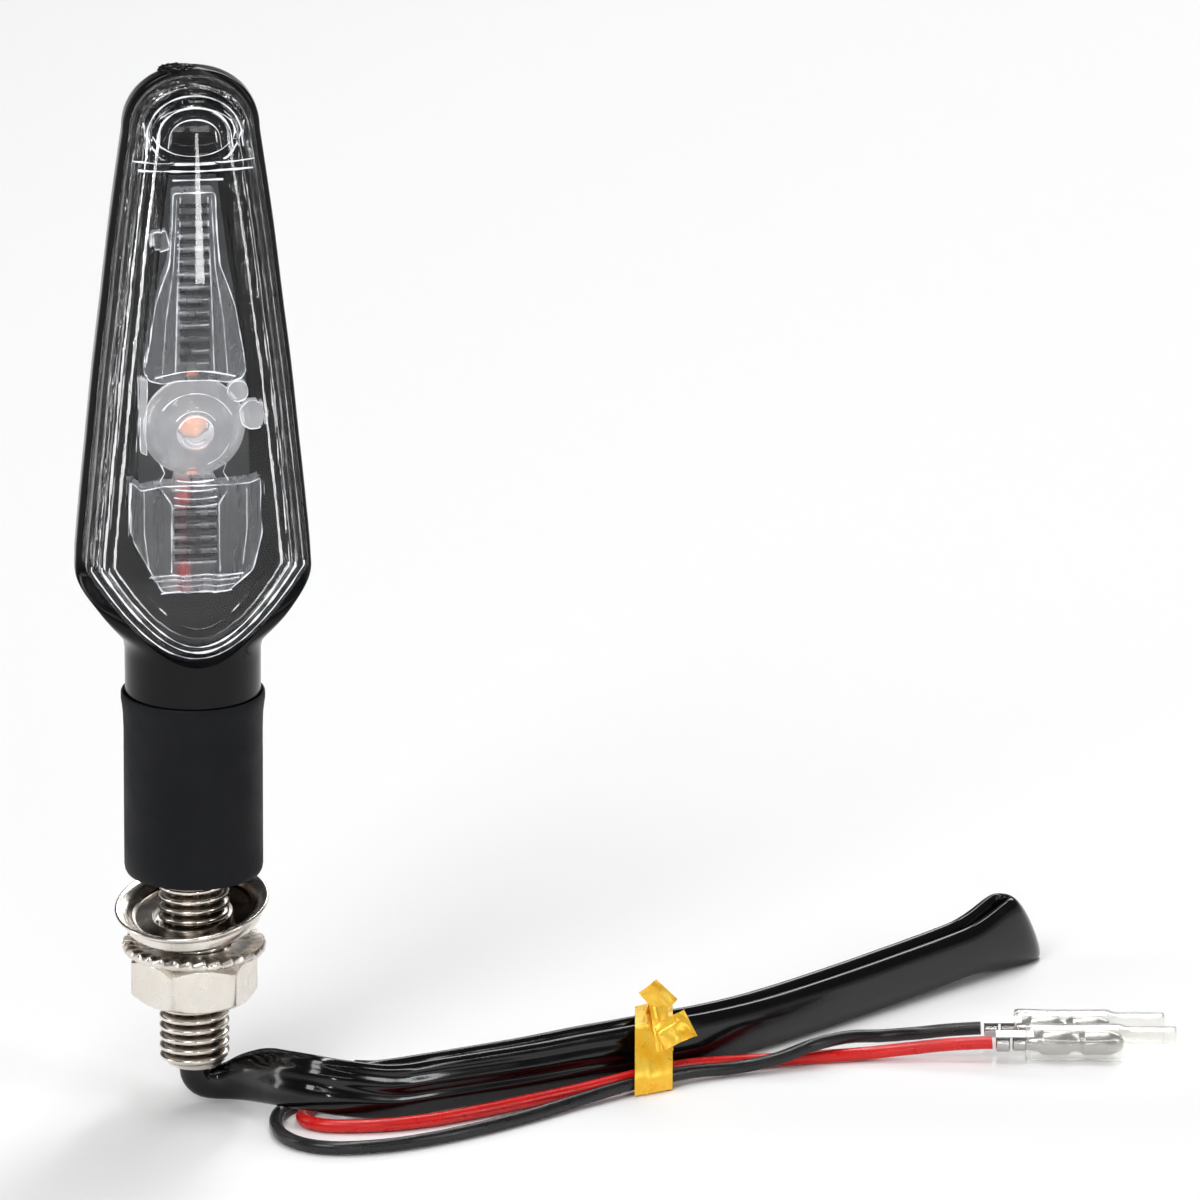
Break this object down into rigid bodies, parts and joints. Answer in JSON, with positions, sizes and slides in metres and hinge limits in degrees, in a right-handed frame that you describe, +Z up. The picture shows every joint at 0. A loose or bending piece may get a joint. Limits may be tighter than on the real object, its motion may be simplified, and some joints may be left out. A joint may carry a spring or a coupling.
{
  "type": "motorcycle turn signal indicator",
  "caption": "Slim LED turn signal with a clear tapered lens, gloss black housing, rubber stem, threaded stem bolt with nut and washers, and a two-wire lead with covered bullet terminals.",
  "frame": {"origin": "on the stem bolt's axis at the underside of the rubber stem, where it sits on the bracket", "axes": "+Z up along the stem towards the tip of the lens; the lens faces -Y; +X to the right as one faces the lens"},
  "size_m": [0.1587, 0.0749, 0.1535],
  "materials": {
    "gloss_black": "gloss",
    "clear_plastic": "clear gloss",
    "board_green": "satin",
    "amber_led": "gloss",
    "chip_black": "matt",
    "matt_rubber": "matt",
    "nickel_plate": "bright plated",
    "black_pvc": "gloss",
    "red_insulation": "satin",
    "tinned_brass": "tinned",
    "gold_foil": "metallised foil"
  },
  "bodies": {
    "stem": {"stem_bolt": "nickel_plate", "pvc_sleeve": "black_pvc", "red_wire": "red_insulation", "black_wire": "black_pvc", "red_terminal": "tinned_brass", "black_terminal": "tinned_brass", "twist_tie": "gold_foil"},
    "flexing_rubber": {"rubber_stem": "matt_rubber", "red_wire_inside": "red_insulation", "black_wire_inside": "black_pvc"},
    "head": {"housing": "gloss_black", "lens": "clear_plastic", "upper_light_guide": "clear_plastic", "collimator": "clear_plastic", "lower_light_guide": "clear_plastic", "circuit_board": "board_green", "main_led": "amber_led", "upper_led": "amber_led", "lower_led": "amber_led", "resistor_1": "chip_black", "resistor_2": "chip_black", "blocking_diode": "chip_black"},
    "cup_washer": {"cup_washer": "nickel_plate"},
    "toothed_washer": {"lock_washer": "nickel_plate"},
    "nut": {"hex_nut": "nickel_plate"},
    "red_cover": {"red_terminal_cover": "clear_plastic"},
    "black_cover": {"black_terminal_cover": "clear_plastic"}
  },
  "joints": [
    {"name": "stem_flex_fore_aft", "type": "hinge", "parent": "stem", "child": "flexing_rubber", "pos_m": [0, 0, 0.009], "axis": [1, 0, 0], "range_deg": [-20, 20], "stiffness_Nm_per_rad": 1, "deforming": ["rubber_stem", "red_wire_inside", "black_wire_inside"]},
    {"name": "stem_flex_side", "type": "hinge", "parent": "flexing_rubber", "child": "head", "pos_m": [0, 0, 0.016], "axis": [0, 1, 0], "range_deg": [-20, 20], "stiffness_Nm_per_rad": 1, "deforming": ["rubber_stem", "red_wire_inside", "black_wire_inside"]},
    {"name": "cup_washer_travel", "type": "slide", "parent": "stem", "child": "cup_washer", "axis": [0, 0, 1], "range_m": [-0.0003, 0.0016]},
    {"name": "nut_travel", "type": "slide", "parent": "stem", "child": "toothed_washer", "axis": [0, 0, 1], "range_m": [-0.0075, 0.0003]},
    {"name": "nut_turn", "type": "hinge", "parent": "toothed_washer", "child": "nut", "pos_m": [0, 0, -0.0156], "axis": [0, 0, 1], "range_deg": [-1800, 72]},
    {"name": "red_cover_slide", "type": "slide", "parent": "stem", "child": "red_cover", "axis": [-0.9925, 0.1219, 0], "range_m": [0, 0.01]},
    {"name": "black_cover_slide", "type": "slide", "parent": "stem", "child": "black_cover", "axis": [-0.9925, 0.1219, 0], "range_m": [0, 0.01]}
  ],
  "couplings": [
    {"joint": "nut_turn", "follows": "nut_travel", "rad_per_m": 4188.8}
  ]
}
